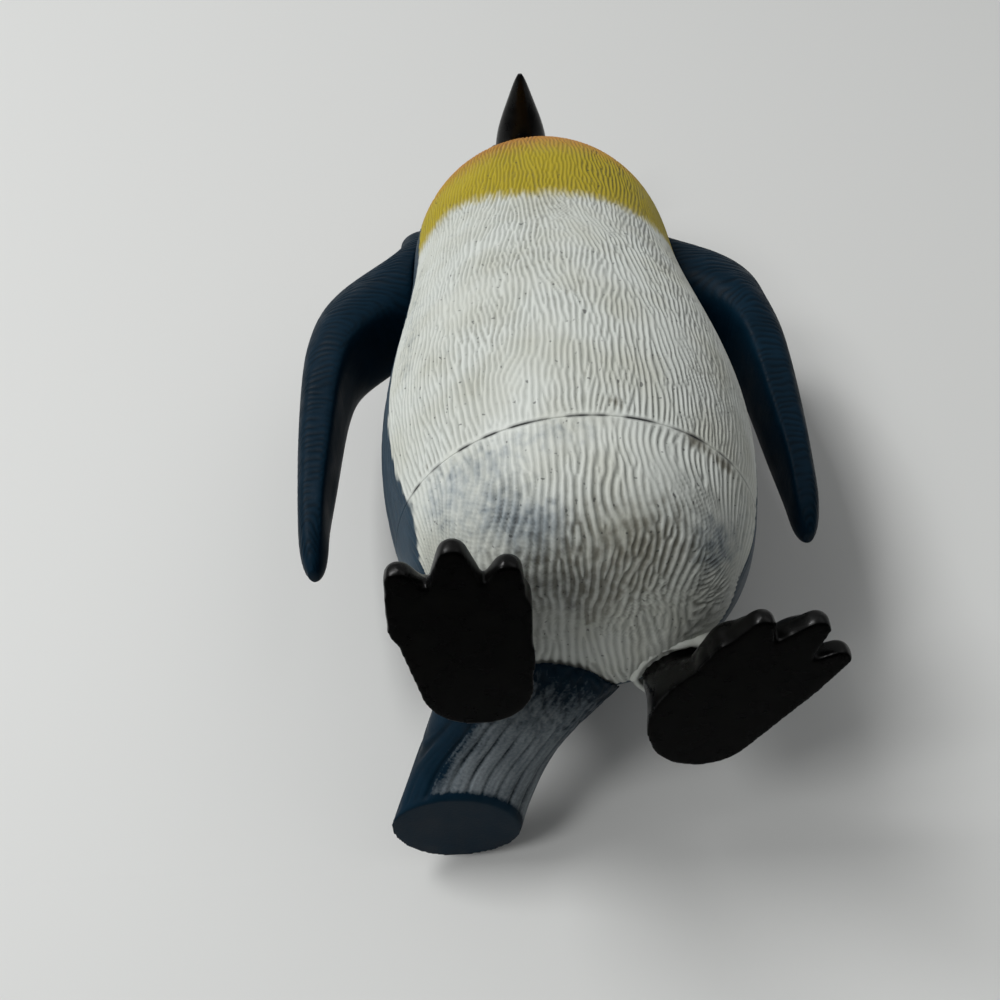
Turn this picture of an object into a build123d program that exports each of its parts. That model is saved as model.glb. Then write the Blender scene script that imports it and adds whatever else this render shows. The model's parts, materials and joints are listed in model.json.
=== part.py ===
from build123d import *
import os
from collections import namedtuple
from math import cos, pi, radians, sin

os.makedirs("parts", exist_ok=True)

# Moulded penguin figurine, standing: +Z up, beak towards -Y, its own left towards +X.
# Lengths are in millimetres. Shares are fractions of the named size that they follow.

# Whole figure
crown_height = 150.0
neck_height = 114.0
waist_height = 20.7
body_floor = 6.6
glue_gap = 0.1
overrun = 6.0

# Body shell: elliptical sections, the two halves share one outside
body_width = 54.6
body_depth = 50.8
neck_width = 31.0
neck_depth = 29.0
body_wall = 2.2
# height above the floor of the body, width, depth
body_section_shares = (
    (0.000, 0.33, 0.33),
    (0.014, 0.60, 0.60),
    (0.052, 0.76, 0.76),
    (0.131, 0.89, 0.89),
    (0.311, 1.00, 1.00),
    (0.516, 0.95, 0.95),
    (0.721, 0.88, 0.88),
    (0.860, 0.86, 0.855),
    (0.935, 0.77, 0.775),
)

# Waist spigot of the lower half
spigot_rise = 5.0
spigot_root = 4.0
spigot_wall = 1.8

# Neck plug of the head
plug_width = 20.0
plug_depth = 19.0
plug_length = 7.0

# Head
head_width = 24.0
head_depth = 26.0
head_set_back = 8.0
head_set_aside = 3.5
# height above the neck, width, depth, set back and aside
head_section_shares = (
    (0.045, 1.18, 1.06, 0.05),
    (0.11, 1.09, 1.00, 0.12),
    (0.25, 0.98, 0.94, 0.30),
    (0.42, 1.00, 1.00, 0.50),
    (0.58, 0.99, 0.98, 0.72),
    (0.75, 0.86, 0.87, 0.85),
    (0.89, 0.60, 0.65, 0.95),
    (0.97, 0.32, 0.35, 1.00),
    (1.00, 0.13, 0.14, 1.00),
)

# Beak
beak_width = 10.4
beak_thickness = 8.4
beak_rise_share = 0.43
beak_root = 1.0
beak_tip = 23.6
beak_droop = 2.4
beak_set_aside = 2.0
beak_peg_radius = 2.4
beak_peg_start = 13.0
beak_peg_length = 9.0
# reach from root to tip, width, thickness, droop
beak_section_shares = (
    (0.00, 1.00, 1.00, 0.00),
    (0.36, 1.00, 0.98, 0.04),
    (0.64, 0.68, 0.70, 0.22),
    (0.86, 0.34, 0.38, 0.62),
    (0.97, 0.15, 0.19, 0.92),
    (1.00, 0.08, 0.09, 1.00),
)

# Eyes: beads in pockets on the sides of the head
eye_radius = 1.7
eye_rise_share = 0.583
eye_forward = 1.2
eye_sink_share = 0.45
eye_gap = 0.05

# Flippers: level sections from the tip up to the elbow, then sloping up into the shoulder.
# A flipper's reach is counted from the body's widest side.
right_shoulder_height = 113.0
left_shoulder_height = 106.0
right_elbow_height = 91.0
left_elbow_height = 94.0
right_flipper_tip = 28.5
left_flipper_tip = 31.5
right_flipper_reach = 11.9
left_flipper_reach = 9.9
flipper_sweep = 12.0
flipper_thickness = 8.4
flipper_chord = 18.0
flipper_peg_height = 9.0
flipper_peg_depth = 7.0
flipper_peg_length = 7.0
flipper_peg_drop = 5.5
flipper_peg_sweep_share = 0.42
# height from tip to elbow, reach of the middle, thickness, sweep back, chord
flipper_arm_shares = (
    (0.000, 0.980, 0.18, 1.00, 0.13),
    (0.039, 0.986, 0.42, 0.98, 0.36),
    (0.145, 0.999, 0.54, 0.94, 0.62),
    (0.300, 1.006, 0.68, 0.88, 0.80),
    (0.485, 1.008, 0.84, 0.79, 0.93),
    (0.625, 0.998, 0.98, 0.69, 1.00),
    (0.735, 0.962, 1.30, 0.59, 1.01),
    (0.850, 0.850, 2.25, 0.50, 0.99),
    (1.000, 0.705, 2.62, 0.40, 0.84),
)
# height from elbow to shoulder, then as above
flipper_shoulder_shares = (
    (0.38, 0.618, 1.58, 0.34, 0.72),
    (0.74, 0.566, 1.30, 0.30, 0.52),
    (1.00, 0.545, 0.60, 0.27, 0.20),
)

# Hips: the lower half is set turned against the chest
hip_turn = 22.0
hip_shift = 2.6
leg_spacing = 29.0
leg_set_back = 5.8
leg_rim_height = 8.0
leg_rim_radius = 7.4
leg_top_height = 19.0
leg_lean_share = 0.72

# Ankle, peg and snap bead of a foot, and the socket that holds them
ankle_radius = 5.8
ankle_gap = 0.3
ankle_sink = 1.0
ankle_drop = 0.6
peg_radius = 3.5
peg_length = 5.4
peg_gap = 0.05
peg_end_gap = 0.4
bead_rise = 0.4
bead_width = 1.6

# Feet: sole from the peg axis, toes forward
foot_reach = 23.7
heel_reach = 9.6
foot_half_width = 8.4
foot_outset = 1.8
ball_radius = 3.2
heel_radius = 7.0
right_heel_outset = 0.8
left_heel_outset = 3.4
pad_thickness = 4.4
pad_rounding = 1.7
pad_reach_share = 0.66
web_thickness = 2.6
web_rounding = 0.8
instep_rise_share = 0.62
toe_radius = 2.6
toe_length = 15.0
toe_droop = 8.0
claw_radius = 0.9
lobe_tip_radius = 1.7
lobe_root_radius = 4.2
lobe_length = 10.0
right_heading = -1.2
left_heading = 32.5
# sideways place as a share of the half width, reach as a share of the foot's reach, fan angle
toe_shares = (
    (-0.74, 0.830, -13.0),
    (0.00, 0.955, 0.0),
    (0.78, 0.825, 13.0),
)
# along the toe, radius
toe_profile_shares = ((0.00, 0.80), (0.35, 0.92), (0.68, 1.00), (0.88, 0.62))
# foot of the instep: half width, half length, set forward; then its waist
instep_width_share = 0.9
instep_length_share = 1.2
instep_forward_share = 0.6
instep_waist_shares = (1.15, 1.35)

# Tail: flattened stub that slopes back from the rump and is cut flat by the ground
tail_reach = 50.0
tail_side = 4.6
tail_width = 19.4
tail_thickness = 11.0
tail_root_height = 19.0
tail_root_reach = 6.0
tail_run_out = 6.5
tail_peg_radius = 3.6
tail_peg_length = 16.0
tail_peg_way_share = 0.42
tail_section_points = 20
# way from root to end, side, height from end to root, width, thickness, slope, squareness of the section
tail_section_shares = (
    (0.00, -0.30, 1.00, 1.36, 2.10, 24.0, 0.30),
    (0.18, -0.11, 0.79, 1.22, 1.70, 27.0, 0.30),
    (0.34, 0.30, 0.66, 1.08, 1.44, 32.0, 0.20),
    (0.57, 0.57, 0.53, 0.97, 1.06, 36.0, 0.10),
    (0.79, 0.79, 0.26, 0.97, 1.00, 36.0, 0.00),
    (1.00, 1.00, 0.00, 0.97, 0.94, 36.0, 0.00),
)


def oval(half_width, half_depth):
    """Elliptical outline of two halves that meet at its front and its back."""
    halves = [EllipticalCenterArc((0, 0), half_width, half_depth, start, arc_size=180) for start in (90, 270)]
    return make_face(halves)


def full_oval(half_width, half_depth, squareness):
    """Closed outline between an ellipse and a rounded rectangle."""
    points = []
    for step in range(tail_section_points):
        turn = 2 * pi * step / tail_section_points
        fill = 1 + squareness * (sin(2 * turn) ** 2) / 4
        points.append((half_width * cos(turn) * fill, half_depth * sin(turn) * fill))
    return make_face(Spline(*points, periodic=True))


def body_loft(grow=0.0):
    """The body's outside as one solid, grown or shrunk all round."""
    low = body_floor - grow
    span = neck_height + grow - low
    sections = [
        Pos(0, 0, low + span * height) * oval(body_width * width / 2 + grow, body_depth * depth / 2 + grow)
        for height, width, depth in body_section_shares
    ]
    sections.append(Pos(0, 0, low + span) * oval(neck_width / 2 + grow, neck_depth / 2 + grow))
    return loft(sections)


def below(solid, height):
    """The part of a solid under a level plane."""
    return split(solid, bisect_by=Plane.XY.offset(height), keep=Keep.BOTTOM)


def above(solid, height):
    """The part of a solid over a level plane."""
    return split(solid, bisect_by=Plane.XY.offset(height), keep=Keep.TOP)


def section_at(solid, height):
    """Half width and half depth of a solid's section at a height."""
    box = section(solid, section_by=Plane.XY.offset(height)).bounding_box()
    return box.size.X / 2, box.size.Y / 2


def surface_point(solid, start, direction):
    """Where a ray from inside a solid leaves it."""
    hits = solid.find_intersection_points(Axis(start, direction))
    return max((point for point, _ in hits), key=lambda point: (point - Vector(*start)).dot(Vector(*direction)))


def oval_bar(half_width, half_depth, low, high):
    """Upright bar with an elliptical section."""
    return Pos(0, 0, low) * extrude(oval(half_width, half_depth), amount=high - low)


def hip_place(side, back):
    """Place over the ground of a point given in the turned hips' own axes."""
    turn = radians(hip_turn)
    return side * cos(turn) - back * sin(turn), side * sin(turn) + back * cos(turn)


def leg_place(sign):
    """Axis of a leg: sign -1 is the figure's right."""
    return hip_place(hip_shift + sign * leg_spacing / 2, leg_set_back)


def head_level(share):
    """Height of a level of the head, from the neck joint to the crown."""
    return neck_height + (crown_height - neck_height) * share


def head_loft(grow=0.0):
    """The head's outside from the neck joint to the crown."""
    sections = [Pos(0, 0, neck_height) * oval(neck_width / 2 + grow, neck_depth / 2 + grow)]
    for height, width, depth, back in head_section_shares:
        place = Pos(-head_set_aside * back, head_set_back * back, head_level(height))
        sections.append(place * oval(head_width * width / 2 + grow, head_depth * depth / 2 + grow))
    return loft(sections)


def beak_loft():
    """The beak from inside the face to its tip."""
    sections = []
    for reach, width, thickness, droop in beak_section_shares:
        forward = beak_root + (beak_tip - beak_root) * reach
        middle = (-beak_set_aside, -forward, head_level(beak_rise_share) - beak_droop * droop)
        plane = Plane(middle, x_dir=(1, 0, 0), z_dir=(0, -1, 0))
        sections.append(plane * oval(beak_width * width / 2, beak_thickness * thickness / 2))
    return loft(sections)


def flipper_loft(side):
    """A flipper from its tip to the top of the shoulder."""
    rows = [(side.tip + (side.elbow - side.tip) * row[0], *row[1:]) for row in flipper_arm_shares]
    rows += [(side.elbow + (side.shoulder - side.elbow) * row[0], *row[1:]) for row in flipper_shoulder_shares]
    sections = []
    for height, reach, thickness, sweep, chord in rows:
        place = Pos(side.sign * (body_width / 2 + side.reach) * reach, flipper_sweep * sweep, height)
        sections.append(place * oval(flipper_thickness * thickness / 2, flipper_chord * chord / 2))
    return loft(sections)


def flipper_peg(side, gap):
    """Bar of a flipper that goes through the shoulder wall, or its hole."""
    height = side.elbow - flipper_peg_drop
    sweep = flipper_sweep * flipper_peg_sweep_share
    wall = surface_point(body, (0, sweep, height), (side.sign, 0, 0)).X * side.sign
    length = flipper_peg_length + overrun + gap
    middle = side.sign * (wall + overrun - length / 2)
    return Pos(middle, sweep, height) * Box(length, flipper_peg_depth + 2 * gap, flipper_peg_height + 2 * gap)


def tail_middle(way, side, height):
    """Point on the tail's middle line, in the turned hips' own axes."""
    reach = tail_root_reach + (tail_reach - tail_root_reach) * way
    return Vector(-tail_side * side, reach, (tail_root_height + tail_run_out) * height - tail_run_out)


def tail_loft():
    """The tail from inside the rump to its flat end on the ground, turned with the hips."""
    sections = []
    for way, side, height, width, thickness, slope, squareness in tail_section_shares:
        down = radians(slope)
        plane = Plane(tail_middle(way, side, height), x_dir=(1, 0, 0), z_dir=(0, cos(down), -sin(down)))
        sections.append(plane * full_oval(tail_width * width / 2, tail_thickness * thickness / 2, squareness))
    return above(Rot(0, 0, hip_turn) * loft(sections), 0)


def tail_peg(gap):
    """Round peg from inside the tail up into the rump, or its hole."""
    start = tail_middle(tail_peg_way_share, 0, 1 - tail_peg_way_share)
    aim = tail_middle(0, 0, 1) - start
    peg = Plane(start, z_dir=aim) * extrude(Circle(tail_peg_radius + gap), amount=tail_peg_length + gap)
    return Rot(0, 0, hip_turn) * peg


def leg_stub(sign, grow=0.0):
    """Short thick leg that carries a socket, leaning out of the bowl."""
    x, y = leg_place(sign)
    foot_end = Pos(x, y, leg_rim_height - grow) * Circle(leg_rim_radius + grow)
    body_end = Pos(x * leg_lean_share, y * leg_lean_share, leg_top_height) * Circle(leg_rim_radius + grow)
    return loft([foot_end, body_end])


def snap_peg(gap, end_gap):
    """Peg with its bead, upward from the top of the ankle, or the hole that takes it."""
    peg = extrude(Circle(peg_radius + gap), amount=peg_length + end_gap)
    bead_middle = peg_length / 2
    half = bead_width / 2
    profile = Polyline(
        (0, bead_middle - half - gap),
        (peg_radius + gap, bead_middle - half - gap),
        (peg_radius + bead_rise + gap, bead_middle - half / 2 - gap),
        (peg_radius + bead_rise + gap, bead_middle + half / 2 + gap),
        (peg_radius + gap, bead_middle + half + gap),
        (0, bead_middle + half + gap),
        close=True,
    )
    bead = revolve(make_face(Plane.XZ * profile), axis=Axis.Z)
    return peg + bead


def leg_socket(sign):
    """Space in the lower body for an ankle and its peg."""
    x, y = leg_place(sign)
    recess = Pos(0, 0, leg_rim_height - overrun) * extrude(Circle(ankle_radius + ankle_gap), amount=overrun + ankle_sink)
    hole = Pos(0, 0, leg_rim_height + ankle_sink - ankle_gap) * snap_peg(peg_gap, peg_end_gap)
    return Pos(x, y, 0) * (recess + hole)


def toe_frame(sign, place, reach, fan):
    """Place of a toe's tip on the ground in a foot's own axes, with +X along the toe."""
    return Pos(sign * (foot_outset + foot_half_width * place), -foot_reach * reach, 0) * Rot(0, 0, sign * fan - 90)


def toe_lobe(sign, row):
    """Outline of the web under one toe: a rounded wedge."""
    tip = Pos(-lobe_tip_radius, 0, 0) * Circle(lobe_tip_radius)
    root = Pos(-lobe_length, 0, 0) * Circle(lobe_root_radius)
    return toe_frame(sign, *row) * make_hull(tip.edges() + root.edges())


def toe(sign, row):
    """One toe with its knuckle and claw, in a foot's own axes."""
    points = [(toe_length * way, toe_radius * radius) for way, radius in toe_profile_shares]
    profile = Spline(*points, (toe_length, claw_radius))
    face = make_face([profile, Polyline(profile @ 1, (toe_length, 0), (0, 0), profile @ 0)])
    finger = Pos(-toe_length, 0, 0) * revolve(face, axis=Axis.X)
    return toe_frame(sign, *row) * Pos(0, 0, claw_radius) * Rot(0, toe_droop, 0) * finger


def sole_outline(side):
    """Outline of the sole without its toes: wide at the ball, narrower at the round heel."""
    front = ball_radius - foot_reach * pad_reach_share
    corner = foot_half_width - ball_radius
    heel = Pos(side.sign * side.heel_outset, heel_reach - heel_radius, 0) * Circle(heel_radius)
    balls = [Pos(side.sign * foot_outset + way * corner, front, 0) * Circle(ball_radius) for way in (-1, 1)]
    return make_hull(heel.edges() + balls[0].edges() + balls[1].edges())


def foot(side):
    """A foot about its peg axis, toes towards -Y."""
    sign = side.sign
    middle = sign * foot_outset
    sole = sole_outline(side)
    pad = extrude(sole, amount=pad_thickness, dir=(0, 0, 1))
    pad = fillet(pad.edges().group_by(Axis.Z)[-1], pad_rounding)
    web = extrude(sole + [toe_lobe(sign, row) for row in toe_shares], amount=web_thickness, dir=(0, 0, 1))
    web = fillet(web.edges().group_by(Axis.Z)[-1], web_rounding)
    collar = body_floor - ankle_drop
    top = leg_rim_height + ankle_sink - ankle_gap
    base = oval(foot_half_width * instep_width_share, heel_reach * instep_length_share)
    waist = oval(ankle_radius * instep_waist_shares[0], ankle_radius * instep_waist_shares[1])
    instep = loft([
        Pos(middle / 2, -ankle_radius * instep_forward_share, 0) * base,
        Pos(middle / 4, -ankle_radius * instep_forward_share / 2, collar * instep_rise_share) * waist,
        Pos(0, 0, collar) * oval(ankle_radius, ankle_radius),
    ])
    ankle = Pos(0, 0, collar) * extrude(oval(ankle_radius, ankle_radius), amount=top - collar)
    solid = above(pad + web + instep + [toe(sign, row) for row in toe_shares], 0)
    return solid + ankle + Pos(0, 0, top) * snap_peg(0, 0)


def eye_ball(sign, gap):
    """Bead of an eye, or its pocket."""
    at = surface_point(head_form, (0, -eye_forward, head_level(eye_rise_share)), (sign, 0, 0))
    middle = Pos(at.X - sign * eye_radius * eye_sink_share, at.Y, at.Z)
    return middle * Rot(0, sign * 90, 0) * Sphere(eye_radius + gap)


def beak_peg(gap):
    """Round peg of the beak in the head, or its hole."""
    plane = Plane((-beak_set_aside, -beak_peg_start, head_level(beak_rise_share)), x_dir=(1, 0, 0), z_dir=(0, 1, 0))
    return plane * extrude(Circle(beak_peg_radius + gap), amount=beak_peg_length + gap)


Side = namedtuple("Side", "name sign tip elbow shoulder reach heel_outset heading")
sides = (
    Side("right", -1, right_flipper_tip, right_elbow_height, right_shoulder_height, right_flipper_reach,
         right_heel_outset, right_heading),
    Side("left", 1, left_flipper_tip, left_elbow_height, left_shoulder_height, left_flipper_reach,
         left_heel_outset, left_heading),
)
nodes = {}

body = body_loft()
cavity = body_loft(-body_wall)
shell = body - cavity
body_clear = body_loft(glue_gap)

# Upper half: open at the waist, with the neck's hole and the flippers' holes
neck_hole = oval_bar(
    plug_width / 2 + glue_gap,
    plug_depth / 2 + glue_gap,
    neck_height - plug_length - glue_gap,
    neck_height + overrun,
)
upper_body = above(shell, waist_height) - neck_hole
nodes["upper_body"] = upper_body - [flipper_peg(side, glue_gap) for side in sides]

# Lower half: bowl with the spigot that the upper half slides over, legs and sockets
waist_half = section_at(cavity, waist_height)
spigot_outside = [half - glue_gap for half in waist_half]
spigot_inside = [half - spigot_wall for half in spigot_outside]
spigot_low = waist_height - spigot_root
spigot_high = waist_height + spigot_rise
spigot = oval_bar(*spigot_outside, spigot_low, spigot_high)
spigot = spigot - oval_bar(*spigot_inside, spigot_low - overrun, spigot_high + overrun)
legs = [leg_stub(side.sign) for side in sides]
lower_body = below(shell, waist_height) + spigot + legs
nodes["lower_body"] = lower_body - tail_peg(glue_gap) - [leg_socket(side.sign) for side in sides]

# Tail, cut to the rump that it is glued to
tail = tail_loft() - body_clear - [leg_stub(side.sign, glue_gap) for side in sides]
nodes["tail"] = tail + tail_peg(0)

# Head with its plug, beak and eyes
head_form = head_loft()
head = head_form + oval_bar(plug_width / 2, plug_depth / 2, neck_height - plug_length, neck_height)
nodes["head"] = head - beak_peg(glue_gap) - [eye_ball(side.sign, eye_gap) for side in sides]
nodes["beak"] = beak_loft() - head_loft(glue_gap) + beak_peg(0)

for side in sides:
    nodes[side.name + "_eye"] = eye_ball(side.sign, 0)
    nodes[side.name + "_flipper"] = flipper_loft(side) - body_clear + flipper_peg(side, 0)
    nodes[side.name + "_foot"] = Pos(*leg_place(side.sign), 0) * Rot(0, 0, side.heading) * foot(side)

# The origin is on the ground, in the middle of the figure's box
boxes = [solid.bounding_box() for solid in nodes.values()]
middle_x = (min(box.min.X for box in boxes) + max(box.max.X for box in boxes)) / 2
middle_y = (min(box.min.Y for box in boxes) + max(box.max.Y for box in boxes)) / 2
to_origin = Pos(-middle_x, -middle_y, 0)
for name, solid in nodes.items():
    placed = to_origin * solid
    export_step(placed, f"parts/{name}.step")
    print(name, len(placed.solids()), round(placed.volume), placed.bounding_box().min, placed.bounding_box().max)
print("origin", middle_x, middle_y)
for side in sides:
    print(side.name, "foot axis", to_origin * Pos(*leg_place(side.sign), 0))
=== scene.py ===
"""Looks of a moulded penguin figurine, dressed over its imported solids.

The figure stands on +Z with its chest towards -Y. Sizes in this file are in millimetres and become metres
when a mesh is written.
"""
from __future__ import annotations

import json
import logging
import math
from dataclasses import dataclass
from enum import Enum
from typing import Any

import bmesh
import bpy
import numpy as np
from bpy.types import Material, Mesh, Node, NodeSocket, NodeTree, Object, World
from mathutils import Matrix, Vector, noise
from mathutils.bvhtree import BVHTree

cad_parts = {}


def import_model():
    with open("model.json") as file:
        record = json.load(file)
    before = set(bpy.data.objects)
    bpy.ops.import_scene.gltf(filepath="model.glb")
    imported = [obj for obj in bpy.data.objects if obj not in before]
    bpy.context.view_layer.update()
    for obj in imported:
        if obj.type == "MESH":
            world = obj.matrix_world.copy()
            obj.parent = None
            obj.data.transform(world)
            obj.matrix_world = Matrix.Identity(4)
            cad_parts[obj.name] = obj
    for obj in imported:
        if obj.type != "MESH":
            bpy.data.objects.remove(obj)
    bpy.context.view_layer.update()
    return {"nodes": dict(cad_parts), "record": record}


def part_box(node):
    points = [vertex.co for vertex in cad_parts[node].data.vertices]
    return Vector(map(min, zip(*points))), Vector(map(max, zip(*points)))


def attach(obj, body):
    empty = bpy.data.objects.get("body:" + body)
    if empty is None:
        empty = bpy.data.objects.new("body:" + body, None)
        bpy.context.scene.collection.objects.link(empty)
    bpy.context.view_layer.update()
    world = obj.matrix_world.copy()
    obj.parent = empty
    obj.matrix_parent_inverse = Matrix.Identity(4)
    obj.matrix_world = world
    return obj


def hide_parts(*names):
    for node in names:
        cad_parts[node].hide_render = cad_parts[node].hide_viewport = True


LOG = logging.getLogger("penguin")
MM = 0.001
# The figure lies on its back in the picture: the table's slope against the standing figure, and its gap to it
TABLE_LEAN = 0.2
TABLE_GAP = 0.1
# The camera's place from the body's axis at the ground
CAMERA_PLACE = (-9.78, -98.07, -73.27)


class Side(Enum):
    """The figure's own right and left."""

    RIGHT = -1
    LEFT = 1

    @property
    def word(self) -> str:
        """The side's name in the names of pieces."""
        return self.name.lower()


def linear(hex_colour: str) -> tuple[float, float, float, float]:
    """Turns an sRGB hex colour into linear light.

    Args:
        hex_colour: Colour as "#rrggbb".

    Returns:
        Linear red, green and blue with an alpha of one.
    """
    values = [int(hex_colour[i:i + 2], 16) / 255 for i in (1, 3, 5)]
    red, green, blue = (v / 12.92 if v <= 0.04045 else ((v + 0.055) / 1.055) ** 2.4 for v in values)
    return red, green, blue, 1.0


def per_metre(size_mm: float) -> float:
    """Texture scale at which one feature of a pattern is about this many millimetres wide."""
    return 1 / (size_mm * MM)


def node(tree: NodeTree, kind: str, inputs: dict[Any, Any] | None = None, **settings: Any) -> Node:
    """Adds a node with its settings and links.

    Args:
        tree: Node tree that gets the node.
        kind: The node's type name.
        inputs: Socket name or index, and the constant or output socket that feeds it.
        **settings: Properties of the node.

    Returns:
        The new node.
    """
    made = tree.nodes.new(kind)
    for key, value in settings.items():
        setattr(made, key, value)
    for key, value in (inputs or {}).items():
        if isinstance(value, NodeSocket):
            tree.links.new(value, made.inputs[key])
        else:
            made.inputs[key].default_value = value
    return made


def mixed(tree: NodeTree, share: Any, first: Any, second: Any, how: str = "MIX") -> NodeSocket:
    """Mixes two colours.

    Args:
        tree: Node tree that gets the node.
        share: Share of the second colour.
        first: First colour as "#rrggbb", or the socket that gives it.
        second: Second colour, or its socket.
        how: Blend type.

    Returns:
        The mixed colour's socket.
    """
    first, second = (linear(c) if isinstance(c, str) else c for c in (first, second))
    inputs = {0: share, 6: first, 7: second}
    return node(tree, "ShaderNodeMix", inputs, data_type="RGBA", blend_type=how).outputs[2]


def ramp(tree: NodeTree, value: NodeSocket, low: float, high: float, start: float = 0.0, end: float = 1.0,
         how: str = "LINEAR") -> NodeSocket:
    """Maps a value from one range to another, clamped.

    Args:
        tree: Node tree that gets the node.
        value: Socket of the value.
        low: Value that gives start.
        high: Value that gives end.
        start: Result at low.
        end: Result at high.
        how: Interpolation type.

    Returns:
        The result's socket.
    """
    inputs = {0: value, 1: low, 2: high, 3: start, 4: end}
    return node(tree, "ShaderNodeMapRange", inputs, interpolation_type=how).outputs[0]


def weighed(tree: NodeTree, value: Any, factor: float, rest: Any) -> NodeSocket:
    """Socket of a value times a factor, plus a rest."""
    return node(tree, "ShaderNodeMath", {0: value, 1: factor, 2: rest}, operation="MULTIPLY_ADD").outputs[0]


def grain(tree: NodeTree, place: Any, size_mm: float, detail: float) -> NodeSocket:
    """Socket of a noise whose features are about this many millimetres wide."""
    inputs = {"Vector": place, "Scale": per_metre(size_mm), "Detail": detail}
    return node(tree, "ShaderNodeTexNoise", inputs).outputs[0]


def field(tree: NodeTree, name: str) -> NodeSocket:
    """Socket of a mesh's field of this name."""
    return node(tree, "ShaderNodeAttribute", attribute_name=name).outputs["Fac"]


def bumps(tree: NodeTree, height: Any, strength: float, depth_mm: float) -> Node:
    """Node of small bumps, with their depth in millimetres."""
    return node(tree, "ShaderNodeBump", {"Strength": strength, "Distance": depth_mm * MM, "Height": height})


def coat(tree: NodeTree, out: Node, colour: Any, rough: Any, bump: Node, shine: dict[str, Any]) -> None:
    """Ends a material's tree.

    Args:
        tree: The material's tree.
        out: Its output node.
        colour: Socket of the colour.
        rough: Socket of the roughness.
        bump: Node of the bumps.
        shine: The shader's other inputs.
    """
    inputs = {"Base Color": colour, "Roughness": rough, "Normal": bump.outputs[0], **shine}
    tree.links.new(node(tree, "ShaderNodeBsdfPrincipled", inputs).outputs[0], out.inputs[0])


def new_material(name: str) -> tuple[Material, NodeTree, Node]:
    """Starts a node material.

    Args:
        name: The material's name.

    Returns:
        The material, its empty tree and its output node.
    """
    material = bpy.data.materials.new(name)
    material.use_nodes = True
    material.node_tree.nodes.clear()
    return material, material.node_tree, node(material.node_tree, "ShaderNodeOutputMaterial")


def smoothstep(low: float, high: float, value: np.ndarray) -> np.ndarray:
    """Smooth rise from 0 at low to 1 at high."""
    share = np.clip((value - low) / (high - low), 0, 1)
    return share * share * (3 - 2 * share)


def noise_at(points: np.ndarray, size_mm: float | tuple[float, float, float], seed: float) -> np.ndarray:
    """Smooth noise, about -1 to 1, at points.

    Args:
        points: Rows of x, y and z in millimetres.
        size_mm: Width of a feature, or its widths along x, y and z.
        seed: Offset that tells fields apart.

    Returns:
        One value for each point.
    """
    scaled = points / np.array(size_mm) + seed
    return np.array([noise.noise(Vector(row)) for row in scaled])


def vertex_array(mesh: Mesh) -> np.ndarray:
    """Vertices of a mesh in millimetres, one row each."""
    flat = np.zeros(len(mesh.vertices) * 3, np.float32)
    mesh.vertices.foreach_get("co", flat)
    return flat.reshape(-1, 3).astype(float) / MM


def set_vertices(mesh: Mesh, points: np.ndarray) -> None:
    """Moves a mesh's vertices to points given in millimetres."""
    mesh.vertices.foreach_set("co", (points * MM).astype(np.float32).ravel())
    mesh.update()


def set_fields(mesh: Mesh, **fields: Any) -> None:
    """Writes named fields, one number for each vertex of a mesh, for its material to read."""
    for name, values in fields.items():
        attribute = mesh.attributes.new(name, "FLOAT", "POINT")
        attribute.data.foreach_set("value", np.broadcast_to(values, len(mesh.vertices)).astype(np.float32))


def vertex_normals(mesh: Mesh) -> np.ndarray:
    """Vertex normals of a mesh, one row each."""
    return np.array([v.normal for v in mesh.vertices])


def placed(name: str, data: Any) -> Object:
    """A new object in the scene that holds a mesh, a lamp or a camera."""
    thing = bpy.data.objects.new(name, data)
    bpy.context.scene.collection.objects.link(thing)
    return thing


def written(form: bmesh.types.BMesh, name: str) -> Mesh:
    """A new mesh of a form, which is freed."""
    mesh = bpy.data.meshes.new(name)
    form.to_mesh(mesh)
    form.free()
    return mesh


def link_piece(name: str, mesh: Mesh, material: Material, body: str, nodes: tuple[str, ...]) -> Object:
    """Puts a finished mesh into the scene as a piece that stands for solids.

    Args:
        name: The piece's name.
        mesh: Mesh with its place in its vertices.
        material: Finish of the piece.
        body: Rigid body that the piece rides on.
        nodes: Solids that it stands for.

    Returns:
        The piece.
    """
    mesh.materials.clear()
    mesh.materials.append(material)
    piece = placed(name, mesh)
    mesh.polygons.foreach_set("use_smooth", np.ones(len(mesh.polygons), bool))
    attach(piece, body)
    if nodes:
        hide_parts(*nodes)
    LOG.info("%s: %d faces", name, len(mesh.polygons))
    return piece


def grid_mesh(name: str, points: np.ndarray) -> Mesh:
    """Wraps a grid round into a closed skin.

    Args:
        name: The mesh's name.
        points: Rings along the first axis, points round a ring along the second. A ring's last point is its
            first.

    Returns:
        The mesh, with its ends filled, its seam merged and its faces pointing outwards.
    """
    rings, around = points.shape[:2]
    form = bmesh.new()
    bmesh.ops.create_grid(form, x_segments=around - 1, y_segments=rings - 1, size=1)
    for vert, place in zip(form.verts, points.reshape(-1, 3) * MM):
        vert.co = place
    bmesh.ops.remove_doubles(form, verts=form.verts, dist=0.002 * MM)
    ends = [edge for edge in form.edges if edge.is_boundary]
    bmesh.ops.holes_fill(form, edges=ends, sides=0)
    bmesh.ops.recalc_face_normals(form, faces=form.faces)
    return written(form, name)


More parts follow.
